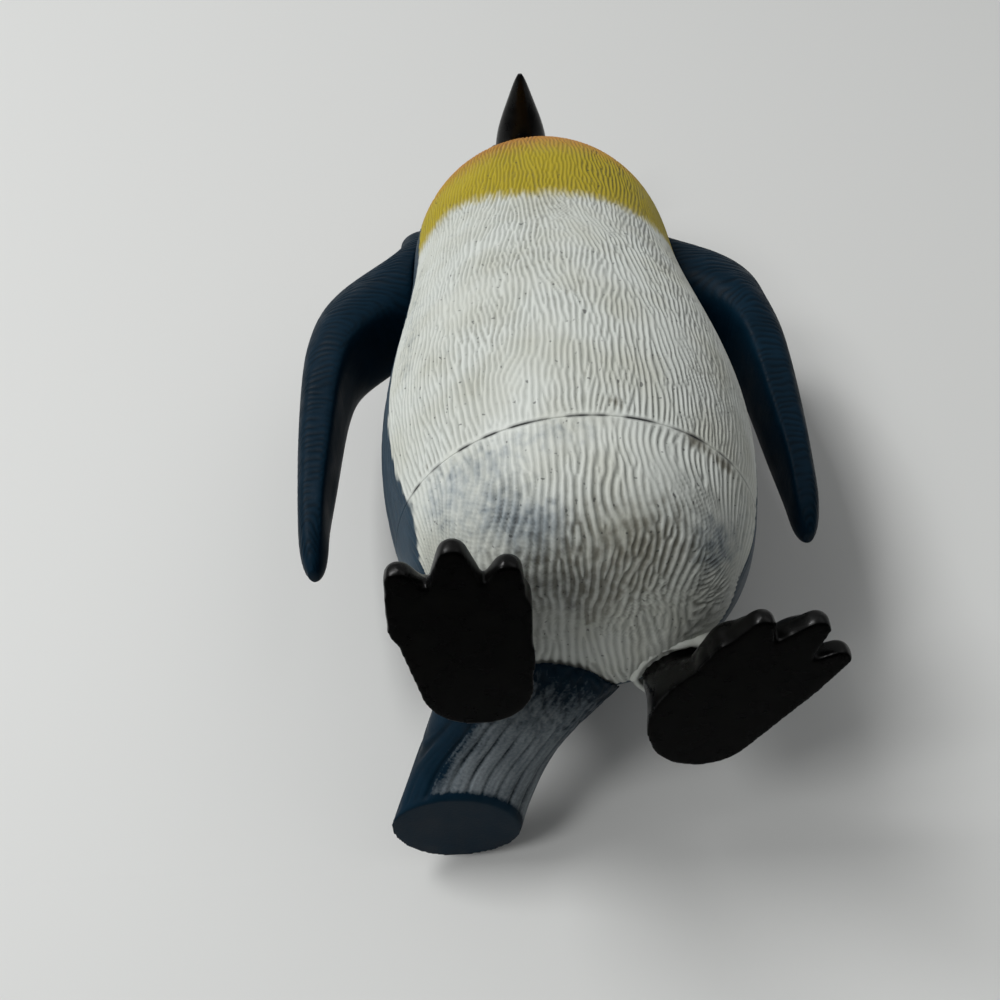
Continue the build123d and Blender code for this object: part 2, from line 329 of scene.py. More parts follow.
@dataclass
class Solid:
    """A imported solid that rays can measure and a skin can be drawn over."""

    thing: Object

    def __post_init__(self) -> None:
        mesh = self.thing.data
        mesh.calc_loop_triangles()
        corners = [tuple(t.vertices) for t in mesh.loop_triangles]
        self.tree = BVHTree.FromPolygons([v.co.copy() for v in mesh.vertices], corners)

    def reach(self, start: np.ndarray, direction: np.ndarray, far: float = 120.0) -> float:
        """Distance from a point to the outermost skin along a direction.

        Args:
            start: Point in millimetres.
            direction: Unit direction.
            far: Distance outside the solid from which the skin is looked for.

        Returns:
            Distance in millimetres, or zero where the ray misses.
        """
        hit = self.tree.ray_cast(Vector((start + direction * far) * MM), Vector(-direction))
        return 0.0 if hit[3] is None else far - hit[3] / MM

    def inner_reach(self, start: np.ndarray, direction: np.ndarray) -> float:
        """Distance from a point inside a solid to its skin along a direction, in millimetres."""
        hit = self.tree.ray_cast(Vector(start * MM), Vector(direction))
        return 0.0 if hit[3] is None else hit[3] / MM

    def even_skin(self, name: str, voxel: float, rounds: int) -> Mesh:
        """Draws an even, slightly softened skin over the solid.

        Args:
            name: The new mesh's name.
            voxel: Size of its faces.
            rounds: Rounds of smoothing.

        Returns:
            The new mesh.
        """
        form = bmesh.new()
        form.from_mesh(self.thing.data)
        bmesh.ops.remove_doubles(form, verts=form.verts, dist=0.001 * MM)
        helper = placed(name + "_rough", written(form, name + "_rough"))
        remesh = helper.modifiers.new("even", "REMESH")
        remesh.mode, remesh.voxel_size, remesh.adaptivity = "VOXEL", voxel * MM, 0.0
        graph = bpy.context.evaluated_depsgraph_get()
        mesh = bpy.data.meshes.new_from_object(helper.evaluated_get(graph))
        bpy.data.objects.remove(helper)
        mesh.name = name
        form = bmesh.new()
        form.from_mesh(mesh)
        for _ in range(rounds):
            bmesh.ops.smooth_vert(form, verts=form.verts, factor=0.5, use_axis_x=True, use_axis_y=True,
                                  use_axis_z=True)
        form.to_mesh(mesh)
        form.free()
        return mesh


@dataclass(frozen=True)
class FeatherPaint:
    """Brushed acrylic over self-coloured vinyl: white breast, golden throat, rubbed thin over the blue.

    The mesh says how far a point lies inside each painted field in millimetres, how deep it lies in the
    moulded grooves, how rubbed it is, and how much grime and painted shade it gets. Fine noise breaks up the
    edges.
    """

    name: str = "breast_paint_on_vinyl"
    white: str = "#ccd0ca"
    cream: str = "#babbae"
    groove: str = "#8f9391"
    gold: str = "#a9970a"
    orange: str = "#b27a2a"
    thin: str = "#93a0b2"
    grime: str = "#5e5a4c"
    vinyl: str = "#0a2433"
    vinyl_light: str = "#15374a"
    seam: str = "#26282a"
    roughness: float = 0.56

    def build(self) -> Material:
        """The finished material."""
        material, tree, out = new_material(self.name)
        place = node(tree, "ShaderNodeTexCoord").outputs["Object"]
        front, gold, orange, groove, wear, grime, seam = (
            field(tree, name)
            for name in ("front_mm", "gold_mm", "orange_mm", "groove", "wear", "grime", "seam")
        )
        ragged, cloud, fine, specks = (
            grain(tree, place, size, detail)
            for size, detail in ((1.4, 4.0), (9.0, 4.0), (0.3, 2.0), (0.75, 1.0))
        )
        long_way = node(tree, "ShaderNodeMapping", {"Vector": place, "Scale": (1.0, 1.0, 0.3)}).outputs[0]
        streak = grain(tree, long_way, 0.9, 2.0)
        sway = node(tree, "ShaderNodeMath", {0: streak, 1: -0.5}, operation="ADD").outputs[0]
        # Each painted edge frays along the strands by a reach, and is soft over a blur, both in millimetres
        front_mask, gold_mask, orange_mask = (
            ramp(tree, weighed(tree, sway, reach, edge), -blur, blur, how="SMOOTHSTEP")
            for edge, reach, blur in ((front, 1.3, 0.4), (gold, 5.0, 2.6), (orange, 6.0, 6.0))
        )
        dull = ramp(tree, cloud, 0.4, 0.75, end=0.8)
        white = mixed(tree, dull, self.white, self.cream)
        golden = mixed(tree, orange_mask, self.gold, self.orange)
        paint = mixed(tree, gold_mask, white, golden)
        # Painted shade: the paint is multiplied darker towards the bottom of the moulded grooves
        shaded = mixed(tree, weighed(tree, groove, 0.5, 0.0), paint, self.groove, "MULTIPLY")
        # Thin paint lets the blue through as a cold grey. The vinyl itself shows only where it is rubbed bare
        rubbed = weighed(tree, ragged, 0.9, wear)
        thinned = ramp(tree, rubbed, 0.55, 1.15, end=0.75, how="SMOOTHSTEP")
        cold = mixed(tree, thinned, shaded, self.thin, "MULTIPLY")
        blue = mixed(tree, ragged, self.vinyl, self.vinyl_light)
        # Painted shade: the bare blue darkens in the grooves too
        groove_shaded_blue = mixed(tree, groove, blue, self.vinyl)
        bare = ramp(tree, weighed(tree, groove, 0.22, rubbed), 1.0, 1.45, end=0.75, how="SMOOTHSTEP")
        worn = mixed(tree, bare, cold, groove_shaded_blue)
        # Grime and painted shade: grime gathers in the grooves and in soft spots, and the broad spots low on
        # the bowl darken it as painted shade under the belly
        grime_and_shade_level = weighed(tree, groove, 0.35, weighed(tree, ragged, 1.2, grime))
        grime_and_shade_mask = ramp(tree, grime_and_shade_level, 0.8, 1.75, end=0.85, how="SMOOTHSTEP")
        grimed_and_shaded = mixed(tree, grime_and_shade_mask, worn, self.grime)
        colour = mixed(tree, front_mask, groove_shaded_blue, grimed_and_shaded)
        dotted = ramp(tree, weighed(tree, groove, 0.1, specks), 0.76, 0.81, end=0.65)
        marked = node(tree, "ShaderNodeMath", {0: seam, 1: dotted}, operation="MAXIMUM").outputs[0]
        lined = mixed(tree, marked, colour, self.seam)
        rough = ramp(tree, cloud, 0.3, 0.7, self.roughness - 0.08, self.roughness + 0.1)
        brushed = bumps(tree, streak, 0.3, 0.2)
        tree.links.new(bumps(tree, fine, 0.3, 0.1).outputs[0], brushed.inputs["Normal"])
        coat(tree, out, lined, rough, brushed, {"IOR": 1.45})
        return material


@dataclass(frozen=True)
class BlueVinyl:
    """Self-coloured soft vinyl: dark teal with a satin skin, and a dry mist of overspray in places."""

    name: str = "blue_moulded_vinyl"
    deep: str = "#010b12"
    main: str = "#02131e"
    rubbed: str = "#082536"
    haze: str = "#8d9599"
    gloss: float = 0.07
    roughness: float = 0.46

    def build(self) -> Material:
        """The finished material, which reads the groove and haze fields of a mesh."""
        material, tree, out = new_material(self.name)
        place = node(tree, "ShaderNodeTexCoord").outputs["Object"]
        groove, haze = (field(tree, name) for name in ("groove", "haze"))
        cloud, fine = grain(tree, place, 6.0, 4.0), grain(tree, place, 0.45, 4.0)
        tone = mixed(tree, cloud, self.main, self.rubbed)
        # Painted shade: the vinyl darkens towards the deep colour in its grooves
        shaded = mixed(tree, weighed(tree, groove, 0.6, 0.0), tone, self.deep)
        mist = weighed(tree, groove, -0.45, weighed(tree, fine, 0.5, haze))
        dusted = ramp(tree, mist, 0.3, 1.1, end=0.85)
        colour = mixed(tree, dusted, shaded, self.haze)
        rough = ramp(tree, cloud, 0.3, 0.7, self.roughness - 0.05, self.roughness + 0.12)
        coat(tree, out, colour, rough, bumps(tree, fine, 0.3, 0.08), {"Specular IOR Level": self.gloss})
        return material


@dataclass(frozen=True)
class BlackLacquer:
    """Black vinyl under gloss lacquer: a clear soft reflection, faint dust and bare matt soles."""

    name: str = "black_lacquered_vinyl"
    black: str = "#020202"
    dust: str = "#0b0a09"
    gloss: float = 0.2
    sole_gloss: float = 0.015
    roughness: float = 0.28

    def build(self) -> Material:
        """The finished material, which reads the matt field of a mesh."""
        material, tree, out = new_material(self.name)
        place = node(tree, "ShaderNodeTexCoord").outputs["Object"]
        cloud, fine = grain(tree, place, 3.5, 5.0), grain(tree, place, 0.9, 2.0)
        dusty = ramp(tree, cloud, 0.5, 0.85, end=0.7)
        colour = mixed(tree, dusty, self.black, self.dust)
        rough = ramp(tree, cloud, 0.3, 0.7, self.roughness - 0.08, self.roughness + 0.12)
        gloss = ramp(tree, field(tree, "matt"), 0.0, 1.0, self.gloss, self.sole_gloss)
        coat(tree, out, colour, rough, bumps(tree, fine, 0.1, 0.1), {"Specular IOR Level": gloss})
        return material


@dataclass(frozen=True)
class HeadPaint:
    """Black satin vinyl of the head with sprayed orange patches behind the cheeks, soft at their edges."""

    name: str = "black_head_vinyl"
    black: str = "#0b0d10"
    sheen: str = "#1a1f24"
    orange: str = "#c9802a"
    gold: str = "#c2a233"
    roughness: float = 0.48

    def build(self) -> Material:
        """The finished material, which reads the patch, bright and groove fields of a mesh."""
        material, tree, out = new_material(self.name)
        place = node(tree, "ShaderNodeTexCoord").outputs["Object"]
        patch, bright, groove = (field(tree, name) for name in ("patch_mm", "bright", "groove"))
        cloud, fine = grain(tree, place, 5.0, 4.0), grain(tree, place, 0.6, 3.0)
        base = mixed(tree, cloud, self.black, self.sheen)
        spray = mixed(tree, bright, self.orange, self.gold)
        sway = node(tree, "ShaderNodeMath", {0: fine, 1: -0.5}, operation="ADD").outputs[0]
        mask = ramp(tree, weighed(tree, sway, 3.0, patch), -1.2, 1.2, how="SMOOTHSTEP")
        painted = mixed(tree, mask, base, spray)
        # Painted shade: the head darkens to black in the grooves between its strands
        colour = mixed(tree, weighed(tree, groove, 0.6, 0.0), painted, self.black)
        rough = ramp(tree, cloud, 0.3, 0.7, self.roughness - 0.06, self.roughness + 0.1)
        coat(tree, out, colour, rough, bumps(tree, fine, 0.3, 0.1), {"IOR": 1.45})
        return material


@dataclass(frozen=True)
class Strands:
    """Moulded feather strands: short rounded cords that lean together, split and join.

    Many small patches of parallel waves are laid over each other, each with its own lean and start. Only the
    phase of their sum is kept, so every cord is as tall as the next.
    """

    pitch: float
    seed: int
    girth: float = 163.0
    wide: float = 1.9
    long: float = 4.6
    lean: float = 0.3

    def relief(self, points: np.ndarray, across: np.ndarray, along: np.ndarray) -> np.ndarray:
        """Lays the strands over a skin.

        Args:
            points: Skin points in millimetres.
            across: Way round the skin in millimetres, which closes after one girth.
            along: Way along the strands in millimetres.

        Returns:
            Height of the relief, from 0 in a groove to 1 on a cord.
        """
        chance = np.random.default_rng(self.seed)
        order = np.argsort(along)
        here, level = across[order], along[order]
        low, high = level[0] - self.long, level[-1] + self.long
        count = round(7 * self.girth * (high - low) / (math.pi * self.wide * self.long))
        total = np.zeros(len(along), complex)
        spots = np.column_stack([chance.uniform(0, self.girth, count), chance.uniform(low, high, count)])
        shared = noise_at(np.column_stack([spots, spots[:, :1]]), 15, self.seed + 0.3)
        leans = self.lean * (1.6 * shared + 0.35 * chance.standard_normal(count))
        paces = 2 * math.pi / self.pitch * (1 + 0.13 * chance.standard_normal(count))
        starts = chance.uniform(0, 2 * math.pi, count)
        for (place, rise), lean, pace, begin in zip(spots, leans, paces, starts):
            first, last = np.searchsorted(level, (rise - 2 * self.long, rise + 2 * self.long))
            beside = (here[first:last] - place + self.girth / 2) % self.girth - self.girth / 2
            near = np.flatnonzero(np.abs(beside) < 2 * self.wide)
            off, up = beside[near], level[first:last][near] - rise
            share = np.exp(-(off / self.wide) ** 2 - (up / self.long) ** 2)
            phase = pace * (off * math.cos(lean) + up * math.sin(lean)) + begin
            total[first + near] += share * np.exp(1j * phase)
        size = np.abs(total)
        wave = np.zeros(len(along))
        wave[order] = total.real / (size + 0.12 * size.mean())
        return smoothstep(-1.0, 0.75, wave + 0.3 * noise_at(points, (1.4, 1.4, 3.1), self.seed + 0.7))


# Soft spots of paint: angle in degrees, height, width in degrees, height of the spot, strength
Spot = tuple[float, float, float, float, float]
WEAR_SPOTS: tuple[Spot, ...] = (
    (-38, 17.5, 16, 3.0, 0.36), (-8, 18.4, 18, 2.2, 0.28), (-34, 12.0, 15, 3.6, 0.42),
    (-20, 9.0, 16, 2.6, 0.54), (-54, 15, 10, 5, 0.3), (58, 10, 16, 2.8, 0.58), (70, 16, 8, 4, 0.24),
    (-56, 48, 7, 12, 0.24), (-62, 66, 6, 12, 0.26), (-38, 74, 14, 6, 0.12), (-5, 72, 14, 5, 0.1),
)
# Grime and painted shade: the first two spots, broad and low on the bowl, are painted shade under the belly;
# the rest are stains and grime
GRIME_AND_SHADE_SPOTS: tuple[Spot, ...] = (
    (0, 6.5, 70, 3.4, 0.55), (30, 10, 26, 3.4, 0.36), (39, 20.3, 5, 1.2, 1.0), (52, 19.6, 5, 1.0, 0.9),
    (2, 46, 9, 5, 0.2), (-9, 56, 8, 5, 0.18), (-26, 38, 12, 5, 0.16), (0, 70, 10, 7, 0.3),
    (-51, 22, 6, 2, 0.35), (12, 23, 3, 1.0, 0.6),
)


@dataclass
class BodyShell:
    """Breast and back above the waist seam, and the bowl below it, both with moulded feather strands."""

    upper: Solid
    lower: Solid
    axis: tuple[float, float]
    breast: Strands = Strands(0.86, 3)
    back: Strands = Strands(2.1, 90, wide=3.6, long=9.0, lean=0.2)
    bowl: Strands = Strands(1.08, 140, wide=1.8, long=3.8, lean=0.34)
    radius: float = 25.94
    edge_radius: float = 25.0
    strand_depth: float = 0.25
    gold_level: float = 78.5
    gold_left_rise: float = 2.5
    gold_right_rise: float = 7.4
    orange_level: float = 100.0
    front_columns: int = 430
    back_columns: int = 170
    row_step: float = 0.62
    bowl_step: float = 0.42
    floor_rows: int = 36
    inner_level: float = 15.0
    front_low: float = -70.0
    front_high: float = 80.0
    # Way from the waist seam and tuck inwards of the rows that round its edge
    edge_rows: tuple[tuple[float, float], ...] = ((0.02, 0.16), (0.07, 0.04), (0.2, 0.0))

    def columns(self) -> np.ndarray:
        """Angles round the body in radians, close together over the breast."""
        low, high = math.radians(self.front_low - 6), math.radians(self.front_high + 6)
        front = np.linspace(low, high, self.front_columns)
        back = np.linspace(high, low + 2 * math.pi, self.back_columns)[1:-1]
        return np.sort((np.concatenate([front, back]) + math.pi) % (2 * math.pi) - math.pi)

    def half_axes(self, solid: Solid, height: float) -> tuple[float, float]:
        """Half width and half depth of the body at a height, measured on a solid."""
        start = np.array([self.axis[0], self.axis[1], height])
        return solid.reach(start, np.array([1.0, 0, 0])), solid.reach(start, np.array([0, -1.0, 0]))

    def ring(self, wide: float, deep: float, height: float) -> np.ndarray:
        """One closed elliptical ring of the body."""
        turns = self.columns()
        across, ahead = self.axis[0] + wide * np.sin(turns), self.axis[1] - deep * np.cos(turns)
        ring = np.column_stack([across, ahead, np.full(len(turns), height)])
        return np.vstack([ring, ring[:1]])

    def stack(self, solid: Solid, rows: list[tuple[float, float]]) -> list[np.ndarray]:
        """Rings on a solid's outside at rows of height and tuck inwards."""
        rings = []
        for height, tuck in rows:
            wide, deep = self.half_axes(solid, height)
            rings.append(self.ring(wide - tuck, deep - tuck, height))
        return rings

    def angles(self, points: np.ndarray) -> np.ndarray:
        """Angle of points about the body's axis, zero in front and growing towards the figure's left."""
        return np.arctan2(points[:, 0] - self.axis[0], self.axis[1] - points[:, 1])

    def inside_breast(self, points: np.ndarray) -> np.ndarray:
        """How far inside the white field points lie, in millimetres: it wraps round under the belly."""
        degrees = np.degrees(self.angles(points))
        levels = (7.0, 8.2, 9.2, 11.0, 12.8, 16.6, 19.6, 26.0, 38.0)
        low = np.interp(points[:, 2], levels, (-190, -120, -88, -78, -74, -67, -65, -69, self.front_low))
        high = np.interp(points[:, 2], levels, (190, 135, 105, 83, 81, 80, 79, 79, self.front_high))
        return np.minimum(degrees - low, high - degrees) * math.pi / 180 * self.edge_radius

    def blotches(self, points: np.ndarray, spots: tuple[Spot, ...]) -> np.ndarray:
        """Sum of soft spots.

        Args:
            points: Skin points in millimetres.
            spots: The spots.

        Returns:
            The field's value at each point.
        """
        degrees, height = np.degrees(self.angles(points)), points[:, 2]
        total = np.zeros(len(points))
        for angle, level, wide, tall, strength in spots:
            total += strength * np.exp(-((degrees - angle) / wide) ** 2 - ((height - level) / tall) ** 2)
        return total

    def press(self, mesh: Mesh, relief: np.ndarray, amount: np.ndarray, waist: float) -> None:
        """Presses a relief into a skin and writes its paint fields.

        Args:
            mesh: Smooth skin of the body.
            relief: Height of the relief from 0 to 1.
            amount: Share of the full depth.
            waist: Height of the waist seam.
        """
        points = vertex_array(mesh)
        degrees, height = np.degrees(self.angles(points)), points[:, 2]
        depth = self.strand_depth * amount * (1 - relief)
        set_vertices(mesh, points - vertex_normals(mesh) * depth[:, None])
        gold_line = (self.gold_level + self.gold_left_rise * smoothstep(30, 70, degrees)
                     + self.gold_right_rise * smoothstep(-2, -50, degrees))
        gate = noise_at(np.column_stack([degrees, degrees, degrees]), 9, 4.4)
        line = smoothstep(0.34, 0.06, np.abs(height - waist)) * smoothstep(-0.3, 0.2, gate)
        fade = smoothstep(-66, -60, degrees) * smoothstep(62, 50, degrees)
        set_fields(mesh, front_mm=self.inside_breast(points), gold_mm=height - gold_line,
                   orange_mm=height - self.orange_level, groove=(1 - relief) * amount,
                   wear=self.blotches(points, WEAR_SPOTS), grime=self.blotches(points, GRIME_AND_SHADE_SPOTS),
                   seam=line * (0.35 + 0.6 * fade))

    def build(self, paint: Material) -> None:
        """Makes both halves.

        Args:
            paint: Finish of the skin.
        """
        waist, top = (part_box("upper_body")[i].z / MM for i in (0, 1))
        self.build_upper(paint, waist, top)
        self.build_bowl(paint, waist)

    def build_upper(self, paint: Material, waist: float, top: float) -> None:
        """Makes the upper half.

        Args:
            paint: Finish of the skin.
            waist: Height of the waist seam.
            top: Height of the neck joint.
        """
        rows = [(waist + rise, tuck) for rise, tuck in self.edge_rows]
        count = round((top - waist) / self.row_step)
        rows += [(height, 0.0) for height in np.linspace(waist + 0.5, top - 0.01, count)]
        skin = grid_mesh("upper_body_skin", np.array(self.stack(self.upper, rows)))
        points = vertex_array(skin)
        angle, inside = self.angles(points), self.inside_breast(points)
        breast = self.breast.relief(points, angle * self.radius, points[:, 2])
        back = self.back.relief(points, angle * self.radius, points[:, 2])
        belongs = smoothstep(-3.5, -0.5, inside)
        relief = breast * belongs + back * (1 - belongs)
        calm = 0.62 + 0.38 * smoothstep(-0.5, 0.25, noise_at(points, (11, 11, 9), 55.0))
        amount = smoothstep(waist, waist + 1.2, points[:, 2]) * calm * (0.7 + 0.3 * belongs)
        self.press(skin, relief, amount, waist)
        link_piece("upper_body_skin", skin, paint, "figure", ("upper_body",))

    def build_bowl(self, paint: Material, waist: float) -> None:
        """Makes the bowl under the waist seam.

        Args:
            paint: Finish of the skin.
            waist: Height of the waist seam.
        """
        middle = np.array([self.axis[0], self.axis[1] - 4.0, self.inner_level])
        floor = self.inner_level - self.lower.reach(middle, np.array([0, 0, -1.0]))
        edge = floor + 0.25
        levels = np.linspace(waist - 0.4, edge, 300)
        halves = np.array([self.half_axes(self.lower, level) for level in levels])
        passed = np.concatenate([[0.0], np.cumsum(np.hypot(np.diff(levels), np.diff(halves[:, 1])))])
        even = np.interp(np.linspace(0, passed[-1], round(passed[-1] / self.bowl_step)), passed, levels)
        rows = [(waist - drop, tuck) for drop, tuck in self.edge_rows]
        rows += [(height, 0.0) for height in even]
        rings = self.stack(self.lower, rows)
        wide, deep = self.half_axes(self.lower, edge)
        for share in np.linspace(0.98, 0.02, self.floor_rows):
            start = Vector((self.axis[0] * MM, (self.axis[1] - deep * share) * MM, -20 * MM))
            hit = self.lower.tree.ray_cast(start, Vector((0, 0, 1)))
            level = floor if hit[0] is None else hit[0].z / MM
            rings.append(self.ring(wide * share, deep * share, min(level, edge)))
        skin = grid_mesh("lower_body_skin", np.array(rings))
        points = vertex_array(skin)
        # The strands run down the front, straight on under the belly, and round with the bowl at its sides
        aside, ahead = points[:, 0] - self.axis[0], self.axis[1] - points[:, 1]
        under = smoothstep(waist - 2, floor + 2, points[:, 2])
        straight = under * smoothstep(0.9, 0.55, np.abs(aside) / halves[0, 0])
        turn = np.arctan2(aside, np.abs(ahead)) * self.radius * (1 - straight) + aside * straight
        relief = self.bowl.relief(points, turn, points[:, 2] + 0.9 * under * ahead)
        inside = self.inside_breast(points)
        calm = 0.55 + 0.45 * smoothstep(-0.45, 0.2, noise_at(points, 7, 77.0))
        amount = smoothstep(waist, waist - 0.9, points[:, 2]) * smoothstep(-3, 0.5, inside) * calm
        self.press(skin, relief, amount, waist)
        link_piece("lower_body_skin", skin, paint, "figure", ("lower_body",))


@dataclass
class LegCuff:
    """Short thick leg under the bowl, with a torn rim of thick white paint round the ankle."""

    side: Side
    foot: tuple[float, float]
    axis: tuple[float, float]
    rim: float = 8.0
    radius: float = 7.35
    lip: float = 1.5
    rise: float = 9.5
    lean_share: float = 0.28
    lean_height: float = 11.0
    around: int = 140

    def build(self, paint: Material) -> None:
        """Makes the cuff.

        Args:
            paint: Finish of the cuff.
        """
        turns = np.linspace(0, 2 * math.pi, self.around + 1)
        outward = np.column_stack([np.cos(turns), np.sin(turns), np.zeros(len(turns))])
        foot, root = np.array([*self.foot, self.rim]), np.array([*self.axis, self.rim])
        lean = (root - foot) * self.lean_share
        rows = [(rise, self.radius) for rise in np.linspace(self.rise, 0.7, 26)]
        rows += [(0.4, self.radius - 0.05), (0.15, self.radius - 0.2), (0.02, self.radius - 0.5),
                 (0.02, self.radius - 0.9), (0.3, self.radius - 1.15), (0.9, self.radius - 1.22)]
        rings = []
        for rise, radius in rows:
            middle = foot + lean * rise / self.lean_height + np.array([0, 0, rise])
            rings.append(middle + outward * radius)
        skin = grid_mesh(f"{self.side.word}_leg_cuff", np.array(rings))
        points, normals = vertex_array(skin), vertex_normals(skin)
        lumps = noise_at(points, 2.2, 12.0) + 0.5 * noise_at(points, 0.9, 33.0)
        low = smoothstep(3.5, 0.3, points[:, 2] - self.rim)
        points = points + normals * (lumps * 0.22 * low - 0.05)[:, None]
        toward = points[:, :2] - np.array(self.foot)
        facing = (-toward[:, 1] - 0.5 * toward[:, 0]) / np.maximum(np.hypot(toward[:, 0], toward[:, 1]), 0.1)
        hang = smoothstep(2.2, 0.0, points[:, 2] - self.rim) * smoothstep(0.1, 0.7, facing + 0.45 * lumps)
        points[:, 2] = np.maximum(points[:, 2], self.rim) - self.lip * hang
        set_vertices(skin, points)
        white = facing * 5 + 2.5 + lumps * 2
        # The groove field darkens the hollows between the lumps of the rim as painted shade
        set_fields(skin, front_mm=white, gold_mm=-20.0, orange_mm=-20.0, seam=0.0,
                   groove=smoothstep(0.1, -0.5, lumps) * 0.5, wear=0.15 - 0.25 * low, grime=0.1 - 0.3 * low)
        link_piece(f"{self.side.word}_leg_cuff", skin, paint, "figure", ())


@dataclass
class Flipper:
    """Bent paddle: a flat leading edge, small moulded arcs of feathers across it, a thin trailing edge."""

    solid: Solid
    side: Side
    ridge_pitch: float = 1.25
    ridge_depth: float = 0.1
    rows: int = 320
    around: int = 128
    elbow: float = 84.0
    tip_zone: tuple[float, float] = (28.0, 40.0)
    half_thickness: float = 3.6

    def section(self, level: float, points: np.ndarray, ways: np.ndarray) -> np.ndarray:
        """One ring of the paddle, squared off towards its leading edge below the elbow.

        Args:
            level: Height of the ring.
            points: The solid's vertices.
            ways: Directions round the ring.

        Returns:
            The ring's points.
        """
        near = points[np.abs(points[:, 2] - level) < 0.8]
        far = near[:, 0].max() if self.side is Side.LEFT else near[:, 0].min()
        half = min(np.ptp(near[:, 0]) / 2, self.half_thickness)
        middle = np.array([far - self.side.value * half, (near[:, 1].max() + near[:, 1].min()) / 2, level])
        ring = np.array([self.solid.inner_reach(middle, way) for way in ways])[:, None] * ways
        here = np.array(level)
        square = smoothstep(self.elbow, self.elbow - 14, here) * smoothstep(*self.tip_zone, here)
        wide, deep = np.abs(ring[:, 0]).max(), np.abs(ring[:, 1]).max()
        turn = np.arctan2(ring[:, 1] / deep, ring[:, 0] / wide)
        fore = ring[:, 1] < 0
        inner = ring[:, 0] * self.side.value < 0
        power = np.where(fore & inner, 9.0, np.where(fore, 2.7, 1.8))
        fill = (np.abs(np.cos(turn)) ** power + np.abs(np.sin(turn)) ** power) ** (-1 / power)
        return middle + ring * (1 + square * (fill - 1))[:, None]

    def build(self, vinyl: Material) -> None:
        """Makes the flipper.

        Args:
            vinyl: Finish of the flipper.
        """
        points = vertex_array(self.solid.thing.data)
        low, high = points[:, 2].min(), points[:, 2].max()
        levels = np.concatenate([[low + 0.03, low + 0.15], np.linspace(low + 0.4, high - 0.4, self.rows - 4),
                                 [high - 0.15, high - 0.03]])
        turns = np.linspace(0, 2 * math.pi, self.around + 1)
        ways = np.column_stack([np.cos(turns), np.sin(turns), np.zeros(len(turns))])
        name = f"{self.side.word}_flipper"
        skin = grid_mesh(name + "_skin", np.array([self.section(level, points, ways) for level in levels]))
        self.press(skin)
        link_piece(name + "_skin", skin, vinyl, "figure", (name,))

    def press(self, mesh: Mesh) -> None:
        """Presses the feather arcs into the paddle and writes its fields."""
        points, normals = vertex_array(mesh), vertex_normals(mesh)
        outer = normals[:, 0] * self.side.value
        edge = np.maximum(smoothstep(0.3, -0.7, normals[:, 1]), 0.75 * smoothstep(0.2, 0.8, outer))
        edge = edge * smoothstep(-0.85, -0.5, outer)
        bow = 3.4 * (outer - 0.1) ** 2
        sway = noise_at(points, 4, 9.0) * 1.1
        wave = np.sin((points[:, 2] + bow + sway) * 2 * math.pi / self.ridge_pitch)
        broken = smoothstep(-0.7, 0.2, noise_at(points, (2.4, 2.4, 1.8), 27.0))
        relief = smoothstep(-0.95, 0.5, wave)
        amount = (0.08 + 0.92 * edge) * broken
        set_vertices(mesh, points - normals * (self.ridge_depth * amount * (1 - relief))[:, None])
        set_fields(mesh, groove=(1 - relief) * amount, haze=-1.0)


@dataclass
class Foot:
    """Webbed foot: three knuckled toes with claws on a flat sole, softened as a moulding is."""

    solid: Solid
    side: Side
    voxel: float = 0.32
    rounds: int = 6

    def build(self, lacquer: Material) -> None:
        """Makes the foot.

        Args:
            lacquer: Finish of the foot.
        """
        name = f"{self.side.word}_foot"
        skin = self.solid.even_skin(name + "_skin", self.voxel, self.rounds)
        points = vertex_array(skin)
        points[:, 2] = np.maximum(points[:, 2], 0.0)
        set_vertices(skin, points)
        set_fields(skin, matt=smoothstep(-0.3, -0.8, vertex_normals(skin)[:, 2]))
        link_piece(name + "_skin", skin, lacquer, name + "_body", (name,))


